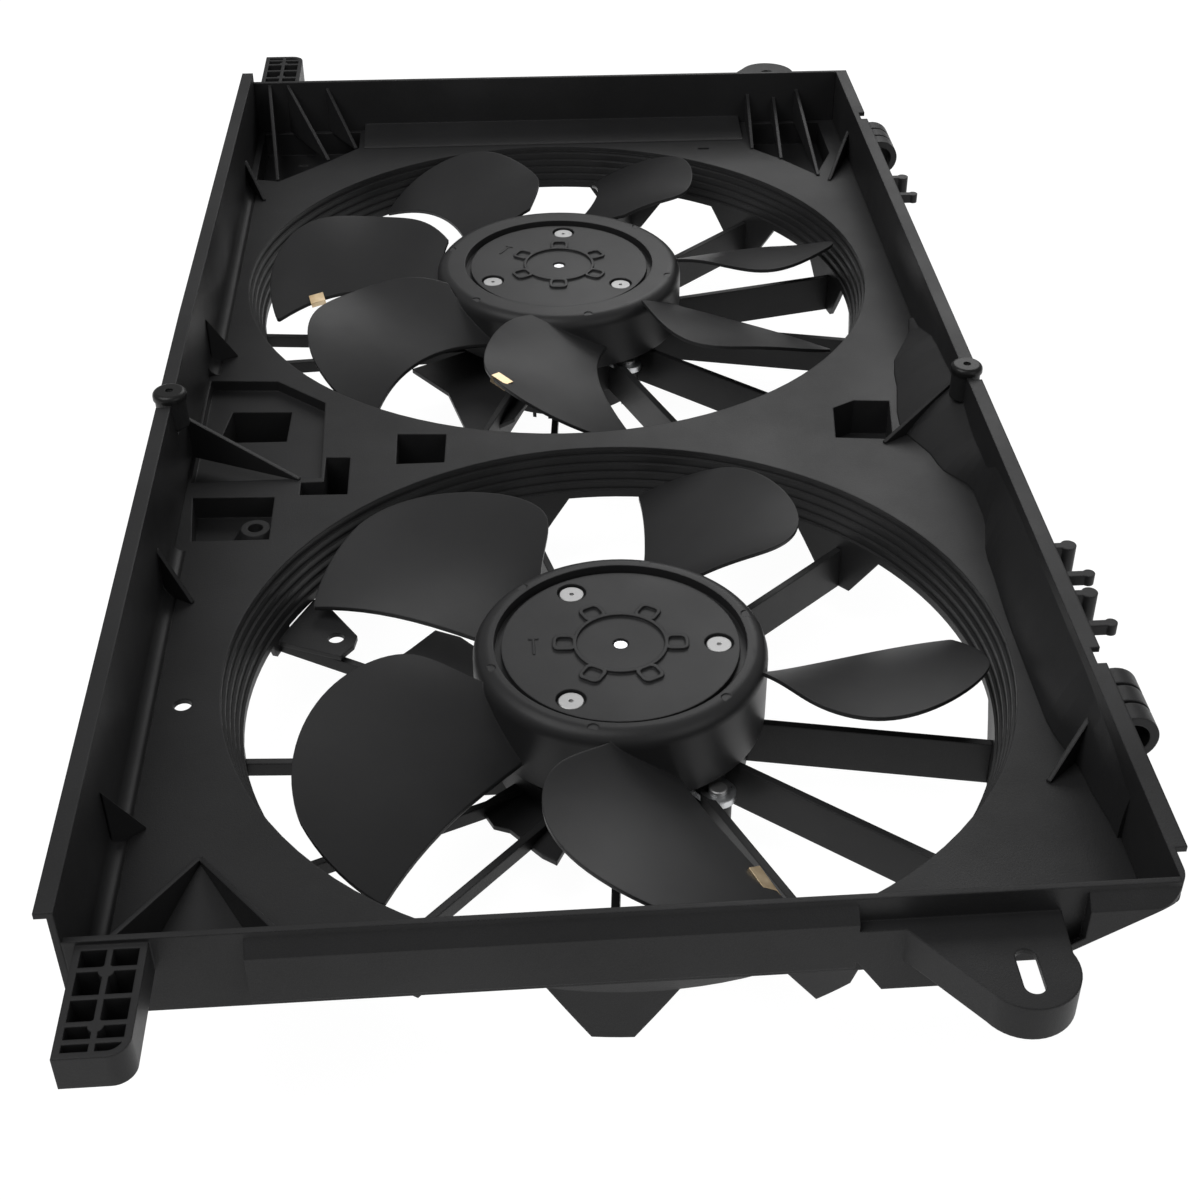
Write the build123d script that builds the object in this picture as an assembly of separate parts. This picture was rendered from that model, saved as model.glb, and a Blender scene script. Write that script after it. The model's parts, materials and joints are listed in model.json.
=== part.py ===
from build123d import *
import math
import os

# Radiator cooling fan assembly with two fans in one moulded shroud. Millimetres.
# The shroud lies flat: X across it, Y along it, Z up towards the radiator.
# While the pieces are made, z = 0 is the top of the shroud's plate.

# Fan places and rings
NEAR_RING_RADIUS = 200.0
FAR_RING_RADIUS = 210.4
RING_GAP = 16.9
FAN_SPACING = NEAR_RING_RADIUS + FAR_RING_RADIUS + RING_GAP
FAN_SIDE_OFFSET = 6.3
RING_STEPS = 6
RING_STEP_DROP = 5.0
RING_STEP_INSET = 1.6
RING_WALL = 3.0
TIP_CLEARANCE = 3.5
TRAILING_TIP_INSET = 5.0

# Tray of the shroud: inner faces of its four walls, set by the rings and a margin to each wall
LEFT_MARGIN = 20.6
RIGHT_MARGIN = 14.6
NEAR_MARGIN = 10.35
FAR_MARGIN = 39.95
WIDEST_RING = max(NEAR_RING_RADIUS, FAR_RING_RADIUS)
TRAY_LEFT = -(WIDEST_RING + LEFT_MARGIN)
TRAY_RIGHT = WIDEST_RING + RIGHT_MARGIN
TRAY_NEAR = -(FAN_SPACING / 2 + NEAR_RING_RADIUS + NEAR_MARGIN)
TRAY_FAR = FAN_SPACING / 2 + FAR_RING_RADIUS + FAR_MARGIN
PLATE_THICKNESS = 3.0
WALL_THICKNESS = 3.0
WALL_LEFT = TRAY_LEFT - WALL_THICKNESS
WALL_RIGHT = TRAY_RIGHT + WALL_THICKNESS
WALL_NEAR = TRAY_NEAR - WALL_THICKNESS
WALL_FAR = TRAY_FAR + WALL_THICKNESS
LEFT_WALL_HEIGHT = 57.0
LEFT_WALL_FAR_HEIGHT = 47.0
LEFT_WALL_BEND_Y = 60.0
WALL_HEIGHT = 40.0
LEFT_FLANGE_WIDTH = 8.0
RIGHT_FLANGE_WIDTH = 8.5
FLANGE_THICKNESS = 3.0
FLANGE_NOTCH = (6.0, 12.0, 8.0)
RIB_THICKNESS = 2.4
RIB_TOE = 1.0
COVE_SIZE = 7.0

# Double skin along the near wall
SKIN_DEPTH = 6.0
SKIN_THICKNESS = 2.5
SKIN_SHELF_DROP = 3.0
SKIN_LEFT_X = -160.0
SKIN_BOTTOM = 5.0

# Sloping panel that cuts off the lower near right corner
CORNER_PANEL = 3.0
CORNER_POINT = (WALL_RIGHT - 50, WALL_NEAR - SKIN_DEPTH, 6.0)
CORNER_FAR_POINT = (WALL_RIGHT, WALL_NEAR + 32, -PLATE_THICKNESS)
CORNER_HIGH_POINT = (WALL_RIGHT - 8, WALL_NEAR - SKIN_DEPTH, 32.0)
CORNER_ROUNDING = 14.0

# Struts that carry the motors
STRUT_TOP = -34.0
STRUT_DEPTH = 26.0
STRUT_THICKNESS = 4.0
THIN_STRUT_THICKNESS = 4.0
THIN_STRUT_DEPTH = 8.0
THIN_STRUT_TOP = -31.0
TAB_TOP_ANGLE = 8.5
TAB_BOTTOM_ANGLE = 2.8
THIN_TAB_SHARE = 0.35

# Small flat plates between the struts
BRACKET_THICKNESS = 3.0
BRACKET_HOLE_RADIUS = 4.5

# Fan hub
HUB_BOTTOM = -30.5
HUB_WALL = 2.8
HUB_SHOULDER_RADIUS = 8.0
HUB_FACE_THICKNESS = 4.5
HUB_FACE_RADIUS = 60.5
HUB_GROOVE_WIDTH = 3.6
HUB_GROOVE_DEPTH = 3.2
HUB_RIM_RISE = 2.4
HUB_RIB_RADIUS = 24.2
HUB_RIB_WIDTH = 1.8
HUB_RIB_HEIGHT = 1.3
HUB_LOOP_COUNT = 6
HUB_LOOP_CIRCLE = 28.5
HUB_LOOP_LENGTH = 12.0
HUB_LOOP_WIDTH = 12.0
HUB_MARK_COUNT = 6
HUB_MARK_RADIUS = 2.8
HUB_MARK_DEPTH = 0.5
BLADE_THICKNESS = 2.4
BLADE_CAMBER = 3.0
BLADE_CAMBER_REACH = 45.0
LEADING_TIP_RADIUS = 6.0
TRAILING_TIP_RADIUS = 2.0
FAN_SCREW_CIRCLE = 50.0
FAN_SCREW_COUNT = 3
FAN_SCREW_HEAD_RADIUS = 6.6
FAN_SCREW_HEAD_HEIGHT = 1.6
FAN_SCREW_RECESS = 2.6
FAN_SCREW_SHANK_RADIUS = 2.0
FAN_SCREW_LENGTH = 6.0

# Motor, an outer-rotor type that sits inside the hub; each part on the board has its middle and size
SHAFT_RADIUS = 4.0
RUNNING_CLEARANCE = 0.05
SEAT_CLEARANCE = 0.1
CUP_RADIUS = 56.0
CUP_WALL = 2.5
CUP_TO_HUB_RIM = 1.0
MAGNET_COUNT = 10
MAGNET_THICKNESS = 3.0
MAGNET_HEIGHT = 24.0
AIR_GAP = 1.2
CORE_HEIGHT = 18.0
TOOTH_COUNT = 12
TOOTH_WIDTH = 6.0
CORE_YOKE_RADIUS = 24.0
TOOTH_TIP_DEPTH = 4.0
COIL_WIDTH = 11.5
COIL_OVERHANG = 2.6
BEARING_RADIUS = 11.0
BEARING_WIDTH = 7.0
BEARING_TUBE_WALL = 3.5
HOUSING_RADIUS = 60.0
HOUSING_THICKNESS = 4.0
HUB_TO_HOUSING_GAP = 6.0
MOTOR_RING_GAP = 3.0
MOTOR_RING_INNER = HOUSING_RADIUS + MOTOR_RING_GAP
MOTOR_RING_WALL = 4.0
SCREW_BOSS_RADIUS = 7.0
MOTOR_SCREW_REACH = 17.0
MOTOR_SCREW_CIRCLE = HOUSING_RADIUS + MOTOR_SCREW_REACH
MOTOR_EAR_COUNT = 3
MOTOR_EAR_RADIUS = 9.0
MOTOR_EAR_CLEARANCE = 0.6
MOTOR_SCREW_RADIUS = 2.5
MOTOR_SCREW_HEAD_RADIUS = 5.0
MOTOR_SCREW_HEAD_HEIGHT = 2.8
COVER_INSET = 2.0
COVER_RADIUS = HOUSING_RADIUS - COVER_INSET
COVER_WALL = 2.5
BOARD_CLEARANCE = 7.5
BOARD_RADIUS = COVER_RADIUS - COVER_WALL - BOARD_CLEARANCE
BOARD_THICKNESS = 1.6
BOARD_STANDOFF = 3.0
BOARD_PARTS = [(0, 18, 14, 14, 2.5), (22, -12, 9, 12, 4), (-22, -12, 9, 12, 4), (0, -28, 18, 8, 6),
               (-10, 34, 10, 8, 8), (12, 34, 10, 8, 8)]
MOTOR_BACK_Z = -84.0
COVER_FIN_COUNT = 11
COVER_FIN_HEIGHT = 4.0
CONNECTOR_WIDTH = 24.0
CONNECTOR_HEIGHT = 11.0
CONNECTOR_LENGTH = 19.0
CONNECTOR_WALL = 2.0

# Half-round clamps outside the right wall
CLAMP_RADIUS = 13.0
CLAMP_CORE_RADIUS = 10.5
CLAMP_BORE_RADIUS = 8.5
CLAMP_BAND_WIDTH = 11.0
CLAMP_PITCH = 13.0
CLAMP_OUTSET = 9.0
CLAMP_DROP = 15.0

# Ears and feet outside the end walls
EAR_TOP = 27.0
EAR_HEIGHT = 18.0
EAR_REACH = 52.0
EAR_TIP_RADIUS = 21.0
EAR_SKIN = 3.0
NEAR_EAR_X = 154.5
FAR_EAR_X = 175.0
EAR_HOLE_RADIUS = 4.5
EAR_SLOT_LENGTH = 24.0
EAR_HOLE_INSET = 20.0
FOOT_LEFT_X = -226.0
FOOT_WIDTH = 29.0
FOOT_REACH = 57.0
FOOT_TOP = 38.0
FOOT_HEIGHT = 17.0
FOOT_CORNER_RADIUS = 9.0

# Push pins in the bosses at the middle of the long sides
BOSS_RADIUS = 8.5
BOSS_HEIGHT = 17.0
PIN_HEAD_RADIUS = 9.5
PIN_HEAD_HEIGHT = 4.5
PIN_SHANK_RADIUS = 3.5
PIN_TIP = 5.0
LEFT_BOSS_Y = -36.0
RIGHT_BOSS_Y = -6.0
BOSS_OUTSET = -1.5

# Sloping shelf at the foot of the far wall
SHELF_LENGTH = 296.0
SHELF_REACH = 36.0
SHELF_HEIGHT = 5.0

# Pockets in the plate
POCKET_WALL = 2.0


class FanSpec:
    """Sizes of one of the two fans."""

    def __init__(self, name, centre, ring_radius, hub_radius, face_z, face_turn):
        self.name = name
        self.centre = centre
        self.ring_radius = ring_radius
        self.hub_radius = hub_radius
        self.face_z = face_z
        self.face_turn = face_turn
        self.throat_radius = ring_radius - (RING_STEPS - 1) * RING_STEP_INSET
        self.tip_radius = self.throat_radius - TIP_CLEARANCE
        self.rim_z = face_z + HUB_RIM_RISE
        self.hub_bottom = HUB_BOTTOM
        self.ring_bottom = -RING_STEPS * RING_STEP_DROP
        self.housing_top = self.hub_bottom - HUB_TO_HOUSING_GAP
        self.housing_bottom = self.housing_top - HOUSING_THICKNESS
        self.cup_top = face_z - HUB_FACE_THICKNESS
        self.cup_bottom = self.hub_bottom + CUP_TO_HUB_RIM
        self.core_radius = CUP_RADIUS - CUP_WALL - MAGNET_THICKNESS - AIR_GAP
        self.core_top = self.cup_top - CUP_WALL - COIL_OVERHANG - AIR_GAP - BEARING_WIDTH / 2


NEAR = FanSpec("near", (FAN_SIDE_OFFSET, -FAN_SPACING / 2), NEAR_RING_RADIUS, 75.0, 9.5, 117.0)

# Each strut: angle at the ring, angle at the motor; thin ones slope down to a height at the motor
NEAR.strut_lines = [(-12.0, -12.0), (-40.0, -40.0), (44.5, 50.0), (104.0, 104.0), (265.0, 265.0),
                    (296.0, 300.0)]
NEAR.thin_strut_lines = [(159.0, 164.0, -48.0), (189.0, 195.0, -50.0), (214.0, 219.0, -50.0),
                         (235.0, 240.0, -48.0)]
NEAR.deep_tabs = [235.0]

# Flat plates on the motor's mount and on the ring: height of the top and corners as radius and angle
NEAR.mount_plates = [(-45.0, [(65, 140), (116, 136), (131, 138), (132, 147), (134, 151), (121, 153), (107, 152),
                              (65, 152)]),
                     (-50.0, [(65, 212), (90, 214), (94, 224), (91, 229), (98, 243), (100, 248), (65, 250)])]
NEAR.ring_plates = [(-31.0, [(193, 148), (179, 149), (154, 154), (152, 157), (155, 161), (193, 160)],
                     (164, 156))]
NEAR.ear_angle = -55.0
NEAR.connector_angle = 180.0
NEAR.emblem_turn = 0.0
FAR = FanSpec("far", (-FAN_SIDE_OFFSET, FAN_SPACING / 2), FAR_RING_RADIUS, 83.5, 5.0, 84.0)
FAR.strut_lines = [(13.5, 13.5), (-13.5, -13.5), (-41.5, -41.5), (-66.0, -61.0), (43.5, 43.5), (72.0, 72.0),
                   (103.0, 103.0), (250.0, 250.0)]
FAR.thin_strut_lines = [(186.0, 190.0, -44.0), (197.0, 201.0, -46.0), (266.0, 266.0, -46.0)]
FAR.deep_tabs = []
FAR.mount_plates = [(-42.0, [(65, 206), (116, 208), (117, 228), (135, 238), (148, 243), (149, 248), (127, 254),
                             (65, 262)])]
FAR.ring_plates = []
FAR.ear_angle = -56.0
FAR.connector_angle = 180.0
FAR.emblem_turn = 3.0

# Blade shape in a frame whose X axis runs out along the blade: points of the leading and the
# trailing edge, and sections with the distance out, the height on the axis and the slope
NEAR.blade_axis_angle = 130.0
NEAR.blade_spacing = [0.0, -69.6, -142.1, -218.9, -282.1]
NEAR.leading_edge = [(75.2, -11.1), (87.4, -28.7), (99.9, -41.0), (121.4, -46.4), (154.6, -32.6)]
NEAR.leading_tip_angle = 7.0
NEAR.trailing_tip_angle = 22.3
NEAR.trailing_edge = [(123.4, 43.9), (72.4, 23.2)]
NEAR.blade_sections = [(62.0, -2.0, -1.05), (100.0, -4.7, -0.50), (125.0, -3.0, -0.37),
                       (155.0, -0.6, -0.31), (196.0, 6.0, -0.36)]
FAR.blade_axis_angle = 115.0
FAR.blade_spacing = [0.0, -49.4, -106.5, -153.0, -207.4, -259.2, -305.5]
FAR.leading_edge = [(82.0, -18.1), (94.8, -31.6), (108.8, -40.4), (129.9, -46.8), (160.5, -42.6)]
FAR.leading_tip_angle = 2.5
FAR.trailing_tip_angle = 14.6
FAR.trailing_edge = [(138.4, 26.2), (77.6, 32.1)]
FAR.blade_sections = [(66.0, -3.6, -0.50), (100.0, -3.8, -0.45), (130.0, -5.2, -0.33),
                      (160.0, -4.6, -0.36), (206.0, -2.0, -0.42)]
FANS = [NEAR, FAR]

# Balance clips on blade edges: blade number, distance out, distance across, turn, length
CLIP_WIDTH = 7.0
CLIP_GRIP = 4.6
NEAR.clip_places = [(3, 146.0, 52.0, 28.0, 18.0)]
FAR.clip_places = [(6, 163.0, 33.0, 24.0, 10.0), (4, 165.0, -35.5, 50.0, 12.0)]


def box_between(low, high):
    """Box from its lowest to its highest corner."""
    size = [high[i] - low[i] for i in range(3)]
    middle = [(high[i] + low[i]) / 2 for i in range(3)]
    return Pos(*middle) * Box(*size)


def prism(points, bottom, top):
    """Upright prism on a plan outline."""
    return Pos(0, 0, bottom) * extrude(make_face(Polyline(*points, close=True)), top - bottom)


def ring(inner, outer, bottom, top):
    """Round tube standing on the given height."""
    body = Pos(0, 0, bottom) * extrude(Circle(outer) - Circle(inner), top - bottom)
    return body


def disc(radius, bottom, top):
    """Upright cylinder."""
    return Pos(0, 0, bottom) * extrude(Circle(radius), top - bottom)


def polar(radius, angle):
    """Point at a radius and an angle in degrees."""
    return radius * math.cos(math.radians(angle)), radius * math.sin(math.radians(angle))


def place(spec, shape):
    """Move a piece made about the axis to its fan's place."""
    return Pos(spec.centre[0], spec.centre[1], 0) * shape


def gusset(wall_point, plate_point, height, thickness=RIB_THICKNESS):
    """Triangular rib, tall at the wall and running out on the plate."""
    dx = plate_point[0] - wall_point[0]
    dy = plate_point[1] - wall_point[1]
    length = math.hypot(dx, dy)
    outline = make_face(Polyline((0, 0), (length, 0), (length, RIB_TOE), (0, height), close=True))
    upright = Plane.XZ * outline
    rib = extrude(upright, thickness / 2, both=True)
    return Pos(wall_point[0], wall_point[1], 0) * Rot(0, 0, math.degrees(math.atan2(dy, dx))) * rib


def pocket_cup(points, depth):
    """Walls and floor of a pocket that hangs below the plate."""
    inner = make_face(Polyline(*points, close=True))
    outer = offset(inner, POCKET_WALL, kind=Kind.INTERSECTION)
    shell = Pos(0, 0, -depth) * extrude(outer, depth)
    hollow = Pos(0, 0, -depth + POCKET_WALL) * extrude(inner, depth)
    return shell, hollow


# Plan outlines of the pockets, each with its depth
POCKETS = [
    ([(-229, 79), (-188, 76), (-157, 48), (-155, -36), (-229, -36)], 9.0),
    ([(-153, -14), (-139, -15), (-139, -54), (-166, -53), (-166, -40), (-153, -40)], 30.0),
    ([(-226, -52), (-180, -54), (-180, -96), (-222, -95)], 16.0),
    ([(-112, 9), (-83, 7), (-84, -24), (-112, -24)], 30.0),
    ([(154, 22), (168, 30), (190, 28), (184, -16), (150, -12)], 26.0),
    ([(-226, 376), (-209, 372), (-173, 407), (-152, 430), (-152, 460), (-226, 460)], 20.0),
    ([(154, 411), (173, 391), (196, 361), (212, 400), (212, 460), (154, 460)], 20.0),
]
POCKET_WINDOW = [(-219, 17), (-179, 16), (-178, 50), (-214, 52)]
POCKET_WINDOW_DEPTH = 34.0
POCKET_WINDOW_DROP = 7.0

# Ribs between a wall and the plate: end on the wall, end on the plate, height at the wall
LEFT_RIBS = [(365, -217, 339, 20), (102, -216, 110, 31), (-7, -167, -37, 26),
             (-141, -215, -152, 28), (-332, -218, -321, 33)]
RIGHT_RIBS = [(397, 204, 350, 19), (10, 178, -20, 26), (-300, 201, -321, 26)]
FAR_RIBS = [(-219, -210, 373, 38), (-205, -174, 407, 38), (-175, -154, 428, 35),
            (155, 153, 411, 23), (176, 173, 391, 20), (194, 197, 359, 26)]
NEAR_RIBS = [(-215, -191, -343, 36), (-146, -191, -343, 36), (154, 158, -388, 38)]

# Stretches of the left and near walls with a hollow-curved foot, and the right wall's bulge: place, inset
# at the plate and height
LEFT_COVES = [(-424, -104), (86, 370)]
NEAR_COVE = (-190, 130)
DOME_SECTIONS = [(130, 3, 2), (60, 26, 20), (0, 34, 24), (-45, 20, 18), (-75, 5, 20), (-100, 5, 34),
                 (-142, 12, 35), (-205, 14, 35), (-277, 14, 35), (-321, 6, 33), (-360, 2, 30)]
DOME_STEPS = 4

# Clamps and harness clips outside the right wall: place, reach, height, end radius
CLAMP_PLACES = [-303, 350]
HARNESS_CLIPS = [(-185, 13, 18, 4.2), (-210, 17, 7, 3.2), (-226, 13, 18, 4.2), (-251, 17, 7, 3.2),
                 (268, 13, 14, 3.8), (240, 15, 7, 3.0)]


def cove(length):
    """Hollow-curved strip for the corner between a wall and the plate, along X with the wall at y = 0."""
    arc = ThreePointArc((COVE_SIZE, 0), (COVE_SIZE * 0.293, COVE_SIZE * 0.293), (0, COVE_SIZE))
    section = make_face(Polyline((0, COVE_SIZE), (0, 0), (COVE_SIZE, 0)) + arc)
    return extrude(Plane.YZ * section, length)


def near_skin(left, right):
    """Outer skin of the near wall, with its sloping shelf and closed ends."""
    wall_y = TRAY_NEAR - WALL_THICKNESS
    skin_y = wall_y - SKIN_DEPTH
    top = WALL_HEIGHT - SKIN_SHELF_DROP
    outer = [(wall_y, top), (skin_y, top - SKIN_DEPTH), (skin_y, SKIN_BOTTOM), (wall_y, SKIN_BOTTOM)]
    inner_y = skin_y + SKIN_THICKNESS
    inner = [(wall_y, top - SKIN_THICKNESS * 1.4), (inner_y, top - SKIN_DEPTH - SKIN_THICKNESS * 0.4),
             (inner_y, SKIN_BOTTOM), (wall_y, SKIN_BOTTOM)]
    solid = Pos(left, 0, 0) * extrude(Plane.YZ * make_face(Polyline(*outer, close=True)), right - left)
    room = right - left - 2 * SKIN_THICKNESS
    hollow = extrude(Plane.YZ * make_face(Polyline(*inner, close=True)), room)
    return solid - Pos(left + SKIN_THICKNESS, 0, 0) * hollow


def ear(centre_x, end_y, outward, slot_length):
    """Mounting ear on an end wall: a topped skirt with a hole; outward is -1 or 1 along Y."""
    tip_y = EAR_REACH - EAR_TIP_RADIUS
    half = EAR_TIP_RADIUS
    outline = [(-half * 2.4, 0), (-half * 0.72, tip_y + half * 0.69),
               (half * 0.9, tip_y + half * 0.43), (half, 0)]
    plan = make_face(Polyline(*outline, close=True)) + Pos(0, tip_y) * Circle(half)
    plan -= Pos(0, -half) * Rectangle(half * 8, half * 2)
    inner = offset(plan, -EAR_SKIN)
    body = Pos(0, 0, EAR_TOP - EAR_HEIGHT) * extrude(plan, EAR_HEIGHT)
    body -= Pos(0, 0, EAR_TOP - EAR_HEIGHT) * extrude(inner, EAR_HEIGHT - EAR_SKIN)
    hole_y = EAR_REACH - EAR_HOLE_INSET
    if slot_length > 2 * EAR_HOLE_RADIUS:
        hole = Rot(0, 0, 90) * SlotOverall(slot_length, 2 * EAR_HOLE_RADIUS)
    else:
        hole = Circle(EAR_HOLE_RADIUS)
    body -= Pos(0, hole_y, EAR_TOP - EAR_HEIGHT) * extrude(hole, EAR_HEIGHT)
    if outward < 0:
        body = mirror(body, Plane.XZ)
    return Pos(centre_x, end_y, 0) * body


def ear_skirt():
    """Deeper part of the near wall beside its ear, down past the plate."""
    left = NEAR_EAR_X - 3.1 * EAR_TIP_RADIUS
    right = NEAR_EAR_X - 0.8 * EAR_TIP_RADIUS
    low = -3 * PLATE_THICKNESS
    outline = Polyline((left, SKIN_BOTTOM + 4), (left + 12, low), (right - 6, low),
                       (right, EAR_TOP - EAR_HEIGHT), (right, EAR_TOP), (left, EAR_TOP), close=True)
    plate = extrude(Plane.XZ * make_face(outline), SKIN_THICKNESS)
    web = box_between((left, WALL_NEAR - SKIN_DEPTH, EAR_TOP - SKIN_THICKNESS), (right, WALL_NEAR, EAR_TOP))
    return Pos(0, WALL_NEAR - SKIN_DEPTH + SKIN_THICKNESS, 0) * plate + web


def foot(end_y, outward):
    """Ribbed foot at the left end of an end wall; cells open upwards."""
    wall = EAR_SKIN
    plan = make_face(Polyline((0, 0), (0, FOOT_REACH), (FOOT_WIDTH, FOOT_REACH), (FOOT_WIDTH, 0), close=True))
    corner = plan.vertices().sort_by(Axis.X)[-2:].sort_by(Axis.Y)[-1]
    plan = fillet(corner, FOOT_CORNER_RADIUS)
    bottom = FOOT_TOP - FOOT_HEIGHT
    body = Pos(0, 0, bottom) * extrude(plan, FOOT_HEIGHT)
    cells = offset(plan, -wall)
    for share in (0.23, 0.48, 0.71, 0.86):
        cells -= Pos(FOOT_WIDTH / 2, share * FOOT_REACH) * Rectangle(FOOT_WIDTH, RIB_THICKNESS)
    cells -= Pos(FOOT_WIDTH / 2, FOOT_REACH / 2) * Rectangle(RIB_THICKNESS, FOOT_REACH)
    for share in (0.25, 0.73):
        cells -= Pos(FOOT_WIDTH / 2, share * FOOT_REACH) * Circle(RIB_THICKNESS * 1.3)
    body -= Pos(0, 0, bottom + wall) * extrude(cells, FOOT_HEIGHT)
    body += foot_flare()
    if outward < 0:
        body = mirror(body, Plane.XZ)
    return Pos(FOOT_LEFT_X, end_y, 0) * body


def foot_flare():
    """Hollow-curved web between the foot and the wall's skin, with a sloping underside."""
    start = (FOOT_WIDTH, FOOT_REACH * 0.6)
    end = (FOOT_WIDTH + 50, 1)
    curve = Spline(start, (FOOT_WIDTH + 8, 15), (FOOT_WIDTH + 25, 9), end)
    plan = make_face(curve + Polyline(end, (end[0], 0), (FOOT_WIDTH, 0), start))
    side = Polyline((0, -PLATE_THICKNESS), (SKIN_DEPTH, -PLATE_THICKNESS), (start[1], FOOT_TOP - FOOT_HEIGHT),
                    (start[1], FOOT_TOP), (0, FOOT_TOP), close=True)
    slab = Pos(FOOT_WIDTH, 0, 0) * extrude(Plane.YZ * make_face(side), end[0] - FOOT_WIDTH)
    return slab & Pos(0, 0, -PLATE_THICKNESS) * extrude(plan, FOOT_TOP + PLATE_THICKNESS)


def clip_arm(y, reach, height, knob):
    """Arm of a harness clip on the right wall, with a rounded end."""
    x = TRAY_RIGHT + WALL_THICKNESS
    arm = box_between((x, y - 2.2, WALL_HEIGHT - height), (x + reach, y + 2.2, WALL_HEIGHT - 1))
    end = Pos(x + reach, y, WALL_HEIGHT - height) * extrude(Circle(knob), height - 1)
    return arm + end


def hose_clamp(y):
    """Three broad half-round bands on a common core, outside the right wall."""
    middle_z = WALL_HEIGHT - CLAMP_DROP
    band = Plane.XZ * (Circle(CLAMP_RADIUS) - Circle(CLAMP_BORE_RADIUS))
    core = Plane.XZ * (Circle(CLAMP_CORE_RADIUS) - Circle(CLAMP_BORE_RADIUS))
    clamp = extrude(core, CLAMP_PITCH * 1.4, both=True)
    for step in (-CLAMP_PITCH, 0, CLAMP_PITCH):
        clamp += Pos(0, step, 0) * extrude(band, CLAMP_BAND_WIDTH / 2, both=True)
    reach = CLAMP_OUTSET + CLAMP_RADIUS + 1
    outside = box_between((WALL_RIGHT, y - 2 * CLAMP_PITCH, 0),
                          (WALL_RIGHT + reach, y + 2 * CLAMP_PITCH, WALL_HEIGHT))
    clamp = Pos(WALL_RIGHT + CLAMP_OUTSET, y, middle_z) * clamp
    return clamp & outside


def pin_boss(x, y, top):
    """Boss on a long wall that takes a push pin."""
    return Pos(x, y, 0) * disc(BOSS_RADIUS, top - BOSS_HEIGHT, top)


def boss_places():
    """Place and top of the two push pin bosses."""
    left_x = WALL_LEFT - BOSS_OUTSET
    right_x = WALL_RIGHT + BOSS_OUTSET
    return [(left_x, LEFT_BOSS_Y, LEFT_WALL_HEIGHT), (right_x, RIGHT_BOSS_Y, WALL_HEIGHT)]


def pin_room(x, y, top):
    """Room for a pin's head where the flange is left out."""
    return Pos(x, y, top) * Box(4 * BOSS_RADIUS, 2.6 * BOSS_RADIUS, 8 * FLANGE_THICKNESS)


def pin_head_room(x, y, top):
    """Room above a boss where the wall's top is lowered for the pin's head."""
    return Pos(x, y, 0) * disc(PIN_HEAD_RADIUS + 1, top, top + 10)


def pin_hole(x, y, top):
    """Hole for a pin's shank, down through the boss and the wall under it."""
    return Pos(x, y, 0) * disc(PIN_SHANK_RADIUS + SEAT_CLEARANCE, top - BOSS_HEIGHT - PIN_TIP - 1, top)


def corner_region(inset):
    """Everything outside the sloping corner plane, moved inwards by the inset."""
    low = Vector(*CORNER_POINT)
    along = (Vector(*CORNER_FAR_POINT) - low).normalized()
    normal = (Vector(*CORNER_HIGH_POINT) - low).cross(along).normalized()
    if normal.X < 0:
        normal = normal * -1
    middle = (low + Vector(*CORNER_FAR_POINT) + Vector(*CORNER_HIGH_POINT)) * (1 / 3)
    plane = Plane(origin=middle - normal * inset, x_dir=along, z_dir=normal)
    room = box_between((CORNER_POINT[0], WALL_NEAR - 20, -20), (WALL_RIGHT + 30, TRAY_NEAR + 90, WALL_HEIGHT))
    return extrude(plane * Rectangle(150, 120), 60) & room


def corner_rounding():
    """What is taken off the upright near right corner."""
    skin_y = WALL_NEAR - SKIN_DEPTH
    radius = CORNER_ROUNDING
    block = box_between((WALL_RIGHT - radius, skin_y, -20),
                        (WALL_RIGHT + 1, skin_y + radius, WALL_HEIGHT + 1))
    return block - Pos(WALL_RIGHT - radius, skin_y + radius, 0) * disc(radius, -21, WALL_HEIGHT + 2)


def corner_panel():
    """Sloping panel across the lower near right corner."""
    room = box_between((150, WALL_NEAR - SKIN_DEPTH, -PLATE_THICKNESS),
                       (WALL_RIGHT, TRAY_NEAR + 80, WALL_HEIGHT - 10))
    return (corner_region(CORNER_PANEL) & room) - corner_region(0)


def shroud_deck():
    """Plate of the tray with its two round openings, pockets and small holes."""
    deck = box_between((TRAY_LEFT, TRAY_NEAR, -PLATE_THICKNESS), (TRAY_RIGHT, TRAY_FAR, 0))
    for points, depth in POCKETS:
        shell, hollow = pocket_cup(points, depth)
        deck += shell
        deck -= hollow
    window_shell, window_hollow = pocket_cup(POCKET_WINDOW, POCKET_WINDOW_DEPTH)
    deck += window_shell & box_between((TRAY_LEFT, TRAY_NEAR, -POCKET_WINDOW_DEPTH),
                                       (TRAY_RIGHT, TRAY_FAR, -POCKET_WINDOW_DROP))
    deck -= window_hollow
    deck += pocket_details()
    for spec in FANS:
        deck -= place(spec, disc(spec.ring_radius, -PLATE_THICKNESS, 1))
    for hole in plate_holes():
        deck -= hole
    return deck - corner_region(CORNER_PANEL)


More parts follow.
